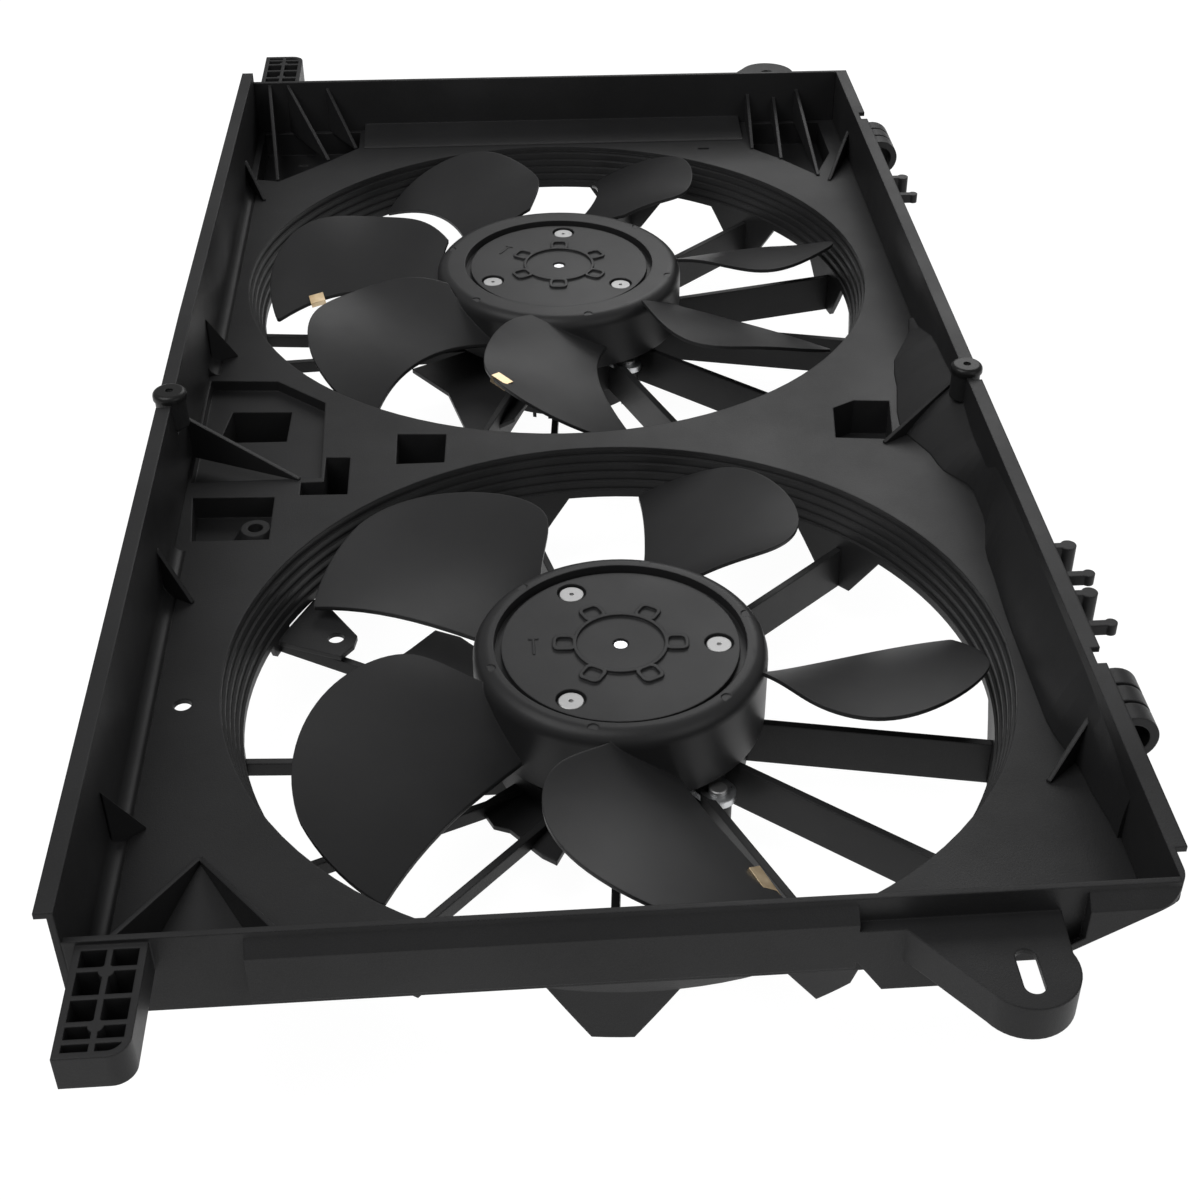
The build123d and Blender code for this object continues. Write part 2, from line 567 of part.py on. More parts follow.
def left_wall():
    """Long left wall with its flange, pin boss and triangular ribs."""
    low = -PLATE_THICKNESS
    top = LEFT_WALL_HEIGHT
    far_top = LEFT_WALL_FAR_HEIGHT
    bend = LEFT_WALL_BEND_Y
    side = Polyline((WALL_NEAR, low), (WALL_FAR, low), (WALL_FAR, far_top), (bend, top),
                    (WALL_NEAR, top), close=True)
    wall = Pos(WALL_LEFT, 0, 0) * extrude(Plane.YZ * make_face(side), WALL_THICKNESS)
    edge = Polyline((WALL_NEAR, top - FLANGE_THICKNESS), (bend, top - FLANGE_THICKNESS),
                    (WALL_FAR, far_top - FLANGE_THICKNESS), (WALL_FAR, far_top), (bend, top),
                    (WALL_NEAR, top), close=True)
    outset = LEFT_FLANGE_WIDTH - WALL_THICKNESS
    flange = Pos(WALL_LEFT - outset, 0, 0) * extrude(Plane.YZ * make_face(edge), outset)
    pin = boss_places()[0]
    wall += flange - pin_room(*pin)
    wall += pin_boss(*pin)
    wall -= pin_head_room(*pin)
    for wall_y, plate_x, plate_y, height in LEFT_RIBS:
        wall += gusset((TRAY_LEFT, wall_y), (plate_x, plate_y), height)
    for start, end in LEFT_COVES:
        wall += Pos(TRAY_LEFT, end, 0) * Rot(0, 0, -90) * cove(end - start)
    return wall - pin_hole(*pin)


def right_wall():
    """Long right wall with its flange, pin boss, ribs, harness clips, clamps and domed inner face."""
    wall = box_between((TRAY_RIGHT, WALL_NEAR, -PLATE_THICKNESS), (WALL_RIGHT, WALL_FAR, WALL_HEIGHT))
    flange = box_between((WALL_RIGHT, WALL_NEAR + 20, WALL_HEIGHT - FLANGE_THICKNESS),
                         (TRAY_RIGHT + RIGHT_FLANGE_WIDTH, WALL_FAR, WALL_HEIGHT))
    pin = boss_places()[1]
    for y in CLAMP_PLACES:
        flange -= Pos(WALL_RIGHT + 4, y + 2 * CLAMP_PITCH, WALL_HEIGHT) * Box(*FLANGE_NOTCH)
        wall += hose_clamp(y)
    wall += flange - pin_room(*pin)
    wall += pin_boss(*pin)
    wall -= pin_head_room(*pin)
    wall += domed_face()
    for wall_y, plate_x, plate_y, height in RIGHT_RIBS:
        wall += gusset((TRAY_RIGHT, wall_y), (plate_x, plate_y), height)
    for y, reach, height, knob in HARNESS_CLIPS:
        wall += clip_arm(y, reach, height, knob)
    return wall - pin_hole(*pin) - corner_region(CORNER_PANEL) - corner_rounding()


def near_wall():
    """Near end wall with its outer skin, ear, foot, ribs and the sloping corner panel."""
    wall = box_between((TRAY_LEFT, WALL_NEAR, -PLATE_THICKNESS), (TRAY_RIGHT, TRAY_NEAR, WALL_HEIGHT))
    wall += near_skin(SKIN_LEFT_X, NEAR_EAR_X - 3.1 * EAR_TIP_RADIUS)
    wall += near_skin(NEAR_EAR_X + 1.5 * EAR_TIP_RADIUS, WALL_RIGHT)
    wall += ear(NEAR_EAR_X, WALL_NEAR, -1, EAR_SLOT_LENGTH)
    wall += ear_skirt()
    wall += foot(WALL_NEAR, -1)
    for wall_x, plate_x, plate_y, height in NEAR_RIBS:
        wall += gusset((wall_x, TRAY_NEAR), (plate_x, plate_y), height)
    wall += Pos(NEAR_COVE[0], TRAY_NEAR, 0) * cove(NEAR_COVE[1] - NEAR_COVE[0])
    return (wall - corner_region(0)) + corner_panel() - corner_rounding()


def far_wall():
    """Far end wall with its ear, foot, ribs and sloping shelf."""
    wall = box_between((TRAY_LEFT, TRAY_FAR, -PLATE_THICKNESS), (TRAY_RIGHT, WALL_FAR, WALL_HEIGHT))
    wall += ear(FAR_EAR_X, WALL_FAR, 1, 0)
    wall += foot(WALL_FAR, 1)
    for wall_x, plate_x, plate_y, height in FAR_RIBS:
        wall += gusset((wall_x, TRAY_FAR), (plate_x, plate_y), height)
    shelf = make_face(Polyline((TRAY_FAR, 0), (TRAY_FAR, SHELF_HEIGHT), (TRAY_FAR - SHELF_REACH, 0),
                               close=True))
    wall += Pos(-SHELF_LENGTH / 2, 0, 0) * extrude(Plane.YZ * shelf, SHELF_LENGTH)
    return wall


def dome_section(y, inset, height):
    """One upright section of the right wall's bulge."""
    start = (TRAY_RIGHT + 1, height)
    end = (TRAY_RIGHT - inset, 0)
    bulge = (TRAY_RIGHT - inset * 0.47, height * 0.6)
    outline = ThreePointArc(start, bulge, end) + Polyline(end, (TRAY_RIGHT + 1, 0), start)
    return Plane.XZ.offset(-y) * make_face(outline)


def domed_face():
    """Bulging inner face of the right wall: rounded sections of smoothly changing inset and height."""
    sections = [dome_section(*DOME_SECTIONS[0])]
    for before, after in zip(DOME_SECTIONS, DOME_SECTIONS[1:]):
        for step in range(1, DOME_STEPS + 1):
            share = step / DOME_STEPS
            ease = (1 - math.cos(math.pi * share)) / 2
            y = before[0] + share * (after[0] - before[0])
            inset = before[1] + ease * (after[1] - before[1])
            height = before[2] + ease * (after[2] - before[2])
            sections.append(dome_section(y, inset, height))
    return loft(sections, ruled=True)


def pocket_details():
    """Cone with a hole in the second pocket."""
    cone = Pos(-189, -80, 0) * Cone(15, 8, 12, align=(Align.CENTER, Align.CENTER, Align.MIN))
    cone = Pos(0, 0, -16 + POCKET_WALL / 2) * cone
    return cone


def plate_holes():
    """Small holes through the plate and the pocket floors."""
    holes = [Pos(-211, -235, 0) * disc(4.5, -PLATE_THICKNESS, 0)]
    holes.append(Pos(-189, -80, 0) * disc(4.2, -20, 0))
    slit = extrude(SlotOverall(9, 3.2), 30, both=True)
    holes.append(Pos(-228, -212, 0) * Rot(0, 0, -25) * slit & box_between((-232, -230, -5), (-200, -200, 1)))
    holes.append(Pos(-197, 440, 0) * slit)
    holes.append(Pos(115, 414, 0) * slit)
    holes.append(box_between((178, -14, -30), (184, -8, -20)))
    return holes


def venturi_ring(spec):
    """Stepped funnel below the plate around one fan, with the tabs that carry the struts."""
    points = [(spec.ring_radius, -PLATE_THICKNESS)]
    for step in range(RING_STEPS):
        inner = spec.ring_radius - step * RING_STEP_INSET
        bottom = -(step + 1) * RING_STEP_DROP
        points.append((inner, bottom))
        if step < RING_STEPS - 1:
            points.append((inner - RING_STEP_INSET, bottom))
    points.append((spec.throat_radius + RING_WALL, spec.ring_bottom))
    points.append((spec.ring_radius + RING_WALL, -PLATE_THICKNESS))
    profile = Plane.XZ * make_face(Polyline(*points, close=True))
    body = revolve(profile, Axis.Z)
    for outer_angle, inner_angle in spec.strut_lines:
        body += strut_tab(spec, outer_angle, STRUT_TOP - STRUT_DEPTH, TAB_TOP_ANGLE, TAB_BOTTOM_ANGLE)
    for outer_angle, inner_angle, inner_top in spec.thin_strut_lines:
        if outer_angle in spec.deep_tabs:
            body += strut_tab(spec, outer_angle, STRUT_TOP - STRUT_DEPTH, TAB_TOP_ANGLE, TAB_BOTTOM_ANGLE)
        else:
            body += strut_tab(spec, outer_angle, THIN_STRUT_TOP - THIN_STRUT_DEPTH,
                              TAB_TOP_ANGLE * THIN_TAB_SHARE, TAB_BOTTOM_ANGLE * 2 * THIN_TAB_SHARE)
    for top, corners, hole in spec.ring_plates:
        plate = bracket(top, corners)
        x, y = polar(*hole)
        body += plate - Pos(x, y, 0) * disc(BRACKET_HOLE_RADIUS, top - BRACKET_THICKNESS, top)
    return place(spec, body.solids().sort_by(SortBy.VOLUME)[-1])


def bracket(top, corners):
    """Flat plate with corners given as radius and angle."""
    return prism([polar(radius, angle) for radius, angle in corners], top - BRACKET_THICKNESS, top)


def strut_tab(spec, angle, bottom, top_half, bottom_half):
    """Curved tab that hangs from the ring and carries a strut."""
    shell = ring(spec.throat_radius, spec.throat_radius + RING_WALL, bottom, spec.ring_bottom)
    reach = spec.throat_radius + RING_WALL + 1
    low = reach * math.tan(math.radians(bottom_half))
    high = reach * math.tan(math.radians(top_half))
    trapezoid = Plane.YZ * make_face(Polyline((-low, bottom), (low, bottom), (high, spec.ring_bottom),
                                              (-high, spec.ring_bottom), close=True))
    wedge = Pos(spec.throat_radius / 2, 0, 0) * extrude(trapezoid, reach)
    return Rot(0, 0, angle) * (shell & wedge)


def strut(spec, outer_angle, inner_angle, outer_top, inner_top, depth, thickness):
    """Flat vane from the motor ring to the ring's tab, upright and straight in plan."""
    start = polar(MOTOR_RING_INNER + MOTOR_RING_WALL / 2, inner_angle)
    end = polar(spec.throat_radius + RING_WALL / 2, outer_angle)
    length = math.hypot(end[0] - start[0], end[1] - start[1])
    direction = math.degrees(math.atan2(end[1] - start[1], end[0] - start[0]))
    side = Polyline((0, inner_top - depth), (length, outer_top - depth), (length, outer_top),
                    (0, inner_top), close=True)
    vane = extrude(Plane.XZ * make_face(side), thickness / 2, both=True)
    return Pos(start[0], start[1], 0) * Rot(0, 0, direction) * vane


def motor_mount(spec):
    """Ring under the motor with its screw bosses, moulded as part of the shroud."""
    top = spec.housing_bottom
    bottom = STRUT_TOP - STRUT_DEPTH
    body = ring(MOTOR_RING_INNER, MOTOR_RING_INNER + MOTOR_RING_WALL, bottom, top)
    for x, y in motor_screw_points(spec):
        body += Pos(x, y, 0) * disc(SCREW_BOSS_RADIUS, bottom, top)
        arm = box_between((MOTOR_RING_INNER + 1, -4, bottom), (MOTOR_SCREW_CIRCLE, 4, top))
        body += Rot(0, 0, math.degrees(math.atan2(y, x))) * arm
    for plate_top, corners in spec.mount_plates:
        body += bracket(plate_top, corners) - disc(MOTOR_RING_INNER + 1, bottom, top)
    for x, y in motor_screw_points(spec):
        body -= Pos(x, y, 0) * disc(MOTOR_SCREW_RADIUS + RUNNING_CLEARANCE, bottom, top)
    return place(spec, body)


def motor_struts(spec, venturi, mount):
    """All struts between the ring and the motor's mount."""
    taken = place(spec, motor_ear_shape(spec, MOTOR_EAR_CLEARANCE, spec.housing_bottom, 0)) + venturi + mount
    vanes = []
    for outer_angle, inner_angle in spec.strut_lines:
        vanes.append(strut(spec, outer_angle, inner_angle, STRUT_TOP, STRUT_TOP, STRUT_DEPTH,
                           STRUT_THICKNESS))
    for outer_angle, inner_angle, inner_top in spec.thin_strut_lines:
        vanes.append(strut(spec, outer_angle, inner_angle, THIN_STRUT_TOP, inner_top, THIN_STRUT_DEPTH,
                           THIN_STRUT_THICKNESS))
    kept = []
    for vane in vanes:
        pieces = (place(spec, vane) - taken).solids()
        kept.append(pieces.sort_by(SortBy.VOLUME)[-1])
    return Compound(kept)


def motor_screw_points(spec):
    """Centres of the motor's mounting screws."""
    step = 360 / MOTOR_EAR_COUNT
    return [polar(MOTOR_SCREW_CIRCLE, spec.ear_angle + index * step) for index in range(MOTOR_EAR_COUNT)]


def motor_ear_shape(spec, margin, bottom, top):
    """Plan of the housing's ears as a solid, grown by a margin."""
    shape = None
    for x, y in motor_screw_points(spec):
        angle = math.degrees(math.atan2(y, x))
        lobe = Pos(x, y, 0) * disc(MOTOR_EAR_RADIUS + margin, bottom, top)
        half = MOTOR_EAR_RADIUS + margin
        neck = box_between((HOUSING_RADIUS - 8, -half, bottom), (MOTOR_SCREW_CIRCLE, half, top))
        piece = lobe + Rot(0, 0, angle) * neck
        shape = piece if shape is None else shape + piece
    return shape


def motor_housing(spec):
    """Cast base plate with ears, bearing tube and board posts."""
    body = disc(HOUSING_RADIUS, spec.housing_bottom, spec.housing_top)
    body += motor_ear_shape(spec, 0, spec.housing_bottom, spec.housing_top)
    tube_outer = BEARING_RADIUS + BEARING_TUBE_WALL
    body += disc(tube_outer, spec.housing_bottom, spec.core_top)
    for index in range(3):
        x, y = polar(BOARD_RADIUS - 6, spec.ear_angle + 60 + index * 120)
        body += Pos(x, y, 0) * disc(3, spec.housing_bottom - BOARD_STANDOFF, spec.housing_bottom)
    body -= disc(BEARING_RADIUS + SEAT_CLEARANCE, spec.housing_bottom + 1.5, spec.core_top)
    for x, y in motor_screw_points(spec):
        hole = disc(MOTOR_SCREW_RADIUS + SEAT_CLEARANCE, spec.housing_bottom, spec.housing_top)
        body -= Pos(x, y, 0) * hole
    return place(spec, body)


def motor_screws(spec):
    """Round-head screws through the housing's ears."""
    screws = []
    for x, y in motor_screw_points(spec):
        head = disc(MOTOR_SCREW_HEAD_RADIUS, spec.housing_top, spec.housing_top + MOTOR_SCREW_HEAD_HEIGHT)
        head = fillet(head.edges().sort_by(Axis.Z)[-1], 1.2)
        shank = disc(MOTOR_SCREW_RADIUS, spec.housing_top - 18, spec.housing_top)
        screws.append(place(spec, Pos(x, y, 0) * (head + shank)))
    return Compound(screws)


def stator_core(spec):
    """Laminated core with teeth, on the bearing tube."""
    bore = BEARING_RADIUS + BEARING_TUBE_WALL + SEAT_CLEARANCE
    top = spec.core_top
    bottom = top - CORE_HEIGHT
    plan = Circle(CORE_YOKE_RADIUS)
    tip_ring = Circle(spec.core_radius) - Circle(spec.core_radius - TOOTH_TIP_DEPTH)
    tip_width = 2 * math.pi * spec.core_radius / TOOTH_COUNT - 3
    for index in range(TOOTH_COUNT):
        angle = index * 360 / TOOTH_COUNT
        length = spec.core_radius - TOOTH_TIP_DEPTH / 2
        plan += Rot(0, 0, angle) * Pos(length / 2, 0) * Rectangle(length, TOOTH_WIDTH)
        block = Rot(0, 0, angle) * Pos(spec.core_radius, 0) * Rectangle(3 * TOOTH_TIP_DEPTH, tip_width)
        plan += tip_ring & block
    plan -= Circle(bore)
    return place(spec, Pos(0, 0, bottom) * extrude(plan, CORE_HEIGHT))


def stator_coils(spec):
    """Copper coils, one round each tooth."""
    inner = CORE_YOKE_RADIUS + 3
    outer = spec.core_radius - TOOTH_TIP_DEPTH - 1
    top = spec.core_top
    bottom = top - CORE_HEIGHT
    half_tooth = TOOTH_WIDTH / 2 + SEAT_CLEARANCE
    coils = []
    for index in range(TOOTH_COUNT):
        coil = box_between((inner, -COIL_WIDTH / 2, bottom - COIL_OVERHANG),
                           (outer, COIL_WIDTH / 2, top + COIL_OVERHANG))
        coil = fillet(coil.edges().filter_by(Axis.X), 1.5)
        coil -= box_between((inner - 1, -half_tooth, bottom - SEAT_CLEARANCE),
                            (outer + 1, half_tooth, top + SEAT_CLEARANCE))
        coils.append(place(spec, Rot(0, 0, index * 360 / TOOTH_COUNT) * coil))
    return Compound(coils)


def bearings(spec):
    """Two ball bearings in the housing's tube, drawn as closed rings."""
    rings = []
    seat = spec.housing_bottom + 1.5
    for bottom in (seat, spec.core_top - BEARING_WIDTH):
        body = ring(SHAFT_RADIUS + RUNNING_CLEARANCE, BEARING_RADIUS, bottom, bottom + BEARING_WIDTH)
        end = bottom + BEARING_WIDTH
        groove = ring(SHAFT_RADIUS + 2, BEARING_RADIUS - 2, end - 0.5, end)
        rings.append(place(spec, body - groove))
    return Compound(rings)


def rotor_shaft(spec):
    """Steel shaft that turns in the bearings."""
    bottom = spec.housing_bottom + 2.0
    body = disc(SHAFT_RADIUS, bottom, spec.face_z - 0.8)
    body = chamfer(body.edges().sort_by(Axis.Z)[-1], 0.6)
    return place(spec, body)


def rotor_cup(spec):
    """Steel cup of the outer rotor, with a boss for the shaft."""
    top = spec.cup_top
    body = disc(CUP_RADIUS, spec.cup_bottom, top)
    body = fillet(body.edges().sort_by(Axis.Z)[-1], 2)
    body -= disc(CUP_RADIUS - CUP_WALL, spec.cup_bottom, top - CUP_WALL)
    body -= disc(SHAFT_RADIUS + SEAT_CLEARANCE / 2, top - CUP_WALL, top)
    for x, y in fan_screw_points(spec):
        body -= Pos(x, y, 0) * disc(FAN_SCREW_SHANK_RADIUS + SEAT_CLEARANCE, top - CUP_WALL, top)
    return place(spec, body)


def rotor_magnets(spec):
    """Arc magnets bonded inside the cup."""
    outer = CUP_RADIUS - CUP_WALL - SEAT_CLEARANCE
    bottom = spec.cup_bottom + 1
    magnets = []
    for index in range(MAGNET_COUNT):
        tube = ring(outer - MAGNET_THICKNESS, outer, bottom, bottom + MAGNET_HEIGHT)
        slot = box_between((0, -outer / 3.4, bottom), (outer + 1, outer / 3.4, bottom + MAGNET_HEIGHT))
        magnets.append(place(spec, Rot(0, 0, index * 360 / MAGNET_COUNT) * (tube & slot)))
    return Compound(magnets)


def fan_screw_points(spec):
    """Centres of the screws that hold the fan to the rotor cup."""
    step = 360 / FAN_SCREW_COUNT
    return [polar(FAN_SCREW_CIRCLE, spec.face_turn + index * step) for index in range(FAN_SCREW_COUNT)]


def fan_screws(spec):
    """Flat-head screws sunk in the hub's face."""
    seat = spec.face_z - FAN_SCREW_RECESS
    screws = []
    for x, y in fan_screw_points(spec):
        head = disc(FAN_SCREW_HEAD_RADIUS, seat, seat + FAN_SCREW_HEAD_HEIGHT)
        head = chamfer(head.edges().sort_by(Axis.Z)[-1], 0.5)
        head -= Pos(0, 0, seat + FAN_SCREW_HEAD_HEIGHT) * extrude(RegularPolygon(1.3, 6), -1.0)
        shank = disc(FAN_SCREW_SHANK_RADIUS, seat - FAN_SCREW_LENGTH, seat)
        screws.append(place(spec, Pos(x, y, 0) * (head + shank)))
    return Compound(screws)


def hub_shell(spec):
    """Turned shape of the hub: sunk face, groove, rounded shoulder and skirt."""
    outer = spec.hub_radius
    inner = outer - HUB_WALL
    face = spec.face_z
    rim = spec.rim_z
    under = face - HUB_FACE_THICKNESS
    rim_start = HUB_FACE_RADIUS + HUB_GROOVE_WIDTH
    shoulder = HUB_SHOULDER_RADIUS
    points = [(0, under), (0, face), (HUB_FACE_RADIUS, face), (HUB_FACE_RADIUS, face - HUB_GROOVE_DEPTH),
              (rim_start, face - HUB_GROOVE_DEPTH), (rim_start, rim), (outer - shoulder, rim)]
    edge = Polyline(*points)
    corner = (outer - shoulder * (1 - math.sqrt(0.5)), rim - shoulder * (1 - math.sqrt(0.5)))
    arc = ThreePointArc((outer - shoulder, rim), corner, (outer, rim - shoulder))
    rest = Polyline((outer, rim - shoulder), (outer, spec.hub_bottom), (inner, spec.hub_bottom),
                    (inner, under), (0, under))
    profile = Plane.XZ * make_face(edge + arc + rest)
    return revolve(profile, Axis.Z)


def hub_emblem(spec):
    """Raised rib ring with loops on the hub's face, as a stiffener."""
    plan = Circle(HUB_RIB_RADIUS) - Circle(HUB_RIB_RADIUS - HUB_RIB_WIDTH)
    rooms = []
    for index in range(HUB_LOOP_COUNT):
        turn = Rot(0, 0, spec.face_turn + spec.emblem_turn + index * 360 / HUB_LOOP_COUNT)
        shift = Pos(HUB_LOOP_CIRCLE, 0)
        loop = turn * shift * RectangleRounded(HUB_LOOP_LENGTH, HUB_LOOP_WIDTH, HUB_LOOP_LENGTH * 0.3)
        plan += loop
        room_length = HUB_LOOP_LENGTH - 2 * HUB_RIB_WIDTH
        room_width = HUB_LOOP_WIDTH - 2 * HUB_RIB_WIDTH
        rooms.append(turn * shift * RectangleRounded(room_length, room_width, room_length * 0.28))
    for room in rooms:
        plan -= room
    return Pos(0, 0, spec.face_z) * extrude(plan, HUB_RIB_HEIGHT)


def turn_arrow(spec):
    """Small raised arrow that shows the way the fan turns, clockwise from above."""
    radius = 44.0
    bar = Pos(radius, 0, spec.face_z) * extrude(Rectangle(1.2, 12), 0.4)
    head = Pos(radius, -6.5, spec.face_z) * extrude(Rectangle(5, 1.2), 0.4)
    return Rot(0, 0, spec.face_turn + 63) * (bar + head)


def blade_camber(across):
    """Height of the blade's bulge at a distance across it, zero at its edges."""
    return BLADE_CAMBER * (1 - (across / BLADE_CAMBER_REACH) ** 2)


def blade_surface(spec, distance, across):
    """Height and slope of a blade's middle surface."""
    rows = spec.blade_sections
    index = max(i for i in range(len(rows) - 1) if rows[i][0] <= distance)
    share = (distance - rows[index][0]) / (rows[index + 1][0] - rows[index][0])
    height = rows[index][1] + share * (rows[index + 1][1] - rows[index][1])
    slope = rows[index][2] + share * (rows[index + 1][2] - rows[index][2])
    return height + slope * across + blade_camber(across), slope


def blade(spec):
    """One blade: a twisted sheet of even thickness trimmed to its plan outline."""
    sections = []
    lift = BLADE_THICKNESS / 2
    half = 1.8 * BLADE_CAMBER_REACH
    for distance, height, slope in spec.blade_sections:
        end_drop = blade_camber(half)
        low_end = height - slope * half + end_drop
        high_end = height + slope * half + end_drop
        middle = height + BLADE_CAMBER
        bottom_arc = ThreePointArc((-half, low_end - lift), (0, middle - lift), (half, high_end - lift))
        top_arc = ThreePointArc((half, high_end + lift), (0, middle + lift), (-half, low_end + lift))
        side_a = Line((half, high_end - lift), (half, high_end + lift))
        side_b = Line((-half, low_end + lift), (-half, low_end - lift))
        face = make_face(bottom_arc + side_a + top_arc + side_b)
        sections.append(Plane.YZ.offset(distance) * face)
    sheet = loft(sections)
    root = spec.hub_radius - HUB_WALL / 2
    lead_tip = polar(spec.tip_radius, spec.leading_tip_angle)
    trail_tip = polar(spec.tip_radius - TRAILING_TIP_INSET, spec.trailing_tip_angle)
    middle_tip = polar(spec.tip_radius, (spec.leading_tip_angle + spec.trailing_tip_angle) / 2)
    start = polar(root, -math.degrees(math.asin(-spec.leading_edge[0][1] / root)))
    end_point = spec.trailing_edge[-1]
    end = polar(root, math.degrees(math.atan2(end_point[1], end_point[0])))
    lead = Spline(start, *spec.leading_edge[1:], lead_tip)
    tip = ThreePointArc(lead_tip, middle_tip, trail_tip)
    trail = Spline(trail_tip, spec.trailing_edge[0], end)
    base = ThreePointArc(end, (root, 0), start)
    plan = make_face(lead + tip + trail + base)
    corners = plan.vertices().sort_by(lambda v: v.X ** 2 + v.Y ** 2)[-2:].sort_by(Axis.Y)
    plan = fillet(corners[0], LEADING_TIP_RADIUS)
    corners = plan.vertices().sort_by(lambda v: (v.X - trail_tip[0]) ** 2 + (v.Y - trail_tip[1]) ** 2)
    plan = fillet(corners[0], TRAILING_TIP_RADIUS)
    column = Pos(0, 0, -70) * extrude(plan, 120)
    return sheet & column


def impeller(spec):
    """Moulded fan: hub with all its blades."""
    body = hub_shell(spec) + hub_emblem(spec) + turn_arrow(spec)
    one = blade(spec)
    for turn in spec.blade_spacing:
        body += Rot(0, 0, spec.blade_axis_angle + turn) * one
    for x, y in fan_screw_points(spec):
        seat = spec.face_z - FAN_SCREW_RECESS
        recess = disc(FAN_SCREW_HEAD_RADIUS + 1.0, seat, spec.rim_z)
        hole = disc(FAN_SCREW_SHANK_RADIUS + SEAT_CLEARANCE, spec.cup_top, seat)
        body -= Pos(x, y, 0) * (recess + hole)
    mark_circle = spec.hub_radius - HUB_SHOULDER_RADIUS + 1.5
    for index in range(HUB_MARK_COUNT):
        x, y = polar(mark_circle, spec.face_turn + 18 + index * 360 / HUB_MARK_COUNT)
        body -= Pos(x, y, 0) * disc(HUB_MARK_RADIUS, spec.rim_z - HUB_MARK_DEPTH, spec.rim_z + 1)
    body -= disc(SHAFT_RADIUS + SEAT_CLEARANCE / 2, spec.cup_top, spec.rim_z)
    return place(spec, body)


def balance_clips(spec, fan):
    """Spring clips pushed on blade edges to balance the fan."""
    clips = []
    for number, distance, across, turn, length in spec.clip_places:
        height, slope = blade_surface(spec, distance, across)
        tilt = math.degrees(math.atan(slope - 2 * BLADE_CAMBER * across / BLADE_CAMBER_REACH ** 2))
        block = Rot(tilt, 0, 0) * Rot(0, 0, turn) * Box(length, CLIP_WIDTH, CLIP_GRIP)
        block = Pos(distance, across, height) * block
        block = Rot(0, 0, spec.blade_axis_angle + spec.blade_spacing[number]) * block
        clips += (place(spec, block) - fan).solids()
    return Compound(clips)


def control_board(spec):
    """Round circuit board with its parts, under the housing."""
    top = spec.housing_bottom - BOARD_STANDOFF
    board = disc(BOARD_RADIUS, top - BOARD_THICKNESS, top)
    under = top - BOARD_THICKNESS
    for x, y, size_x, size_y, height in BOARD_PARTS:
        board += Pos(x, y, under - height / 2) * Box(size_x, size_y, height)
    return place(spec, board)


def motor_cover(spec):
    """Deep back cover over the board, with cooling fins."""
    top = spec.housing_bottom
    bottom = MOTOR_BACK_Z
    floor = bottom + COVER_FIN_HEIGHT
    body = disc(COVER_RADIUS, floor, top)
    body -= disc(COVER_RADIUS - COVER_WALL, floor + COVER_WALL, top)
    pitch = 2 * (COVER_RADIUS - 6) / (COVER_FIN_COUNT - 1)
    limit = disc(COVER_RADIUS - 1, bottom, floor)
    fins = None
    for index in range(COVER_FIN_COUNT):
        x = -COVER_RADIUS + 6 + index * pitch
        fin = box_between((x - 1.2, -COVER_RADIUS, bottom), (x + 1.2, COVER_RADIUS, floor))
        fins = fin if fins is None else fins + fin
    body += fins & limit
    pad_low, pad_high = connector_span()
    half = CONNECTOR_WIDTH / 2
    pad = box_between((COVER_RADIUS - 6, -half, pad_low), (COVER_RADIUS + 1, half, pad_high))
    body += Rot(0, 0, spec.connector_angle) * pad
    body -= disc(COVER_RADIUS - COVER_WALL, floor + COVER_WALL, top)
    return place(spec, body)


def connector_span():
    """Heights of the connector's bottom and top."""
    low = MOTOR_BACK_Z + COVER_FIN_HEIGHT
    return low, low + CONNECTOR_HEIGHT


def motor_connector(spec):
    """Two-pin socket on the side of the cover, open outwards."""
    low, high = connector_span()
    start = COVER_RADIUS + 1
    end = start + CONNECTOR_LENGTH
    half = CONNECTOR_WIDTH / 2
    body = box_between((start, -half, low), (end, half, high))
    body = fillet(body.edges().filter_by(Axis.X), 1.5)
    body -= box_between((start + 4, -half + CONNECTOR_WALL, low + CONNECTOR_WALL),
                        (end, half - CONNECTOR_WALL, high - CONNECTOR_WALL))
    middle = (low + high) / 2
    for side in (-5, 5):
        body += box_between((start + 2, side - 1.5, middle - 0.6), (end - 9, side + 1.5, middle + 0.6))
    latch = box_between((start + 10, -3, low - 2), (end - 2, 3, low))
    return place(spec, Rot(0, 0, spec.connector_angle) * (body + latch))


def push_pin(x, y, top):
    """Push pin with a domed head and a split shank."""
    head = disc(PIN_HEAD_RADIUS, top, top + PIN_HEAD_HEIGHT)
    head = fillet(head.edges().sort_by(Axis.Z)[-1], PIN_HEAD_HEIGHT * 0.6)
    head -= disc(2.2, top + PIN_HEAD_HEIGHT - 1.2, top + PIN_HEAD_HEIGHT)
    tip = top - BOSS_HEIGHT - PIN_TIP
    shank = disc(PIN_SHANK_RADIUS, tip, top)
    shank = chamfer(shank.edges().sort_by(Axis.Z)[0], 1.5)
    shank -= box_between((-0.6, -PIN_SHANK_RADIUS, tip), (0.6, PIN_SHANK_RADIUS, top - 6))
    return Pos(x, y, 0) * (head + shank)


def push_pins():
    """The two push pins in the long sides."""
    return Compound([push_pin(x, y, top) for x, y, top in boss_places()])


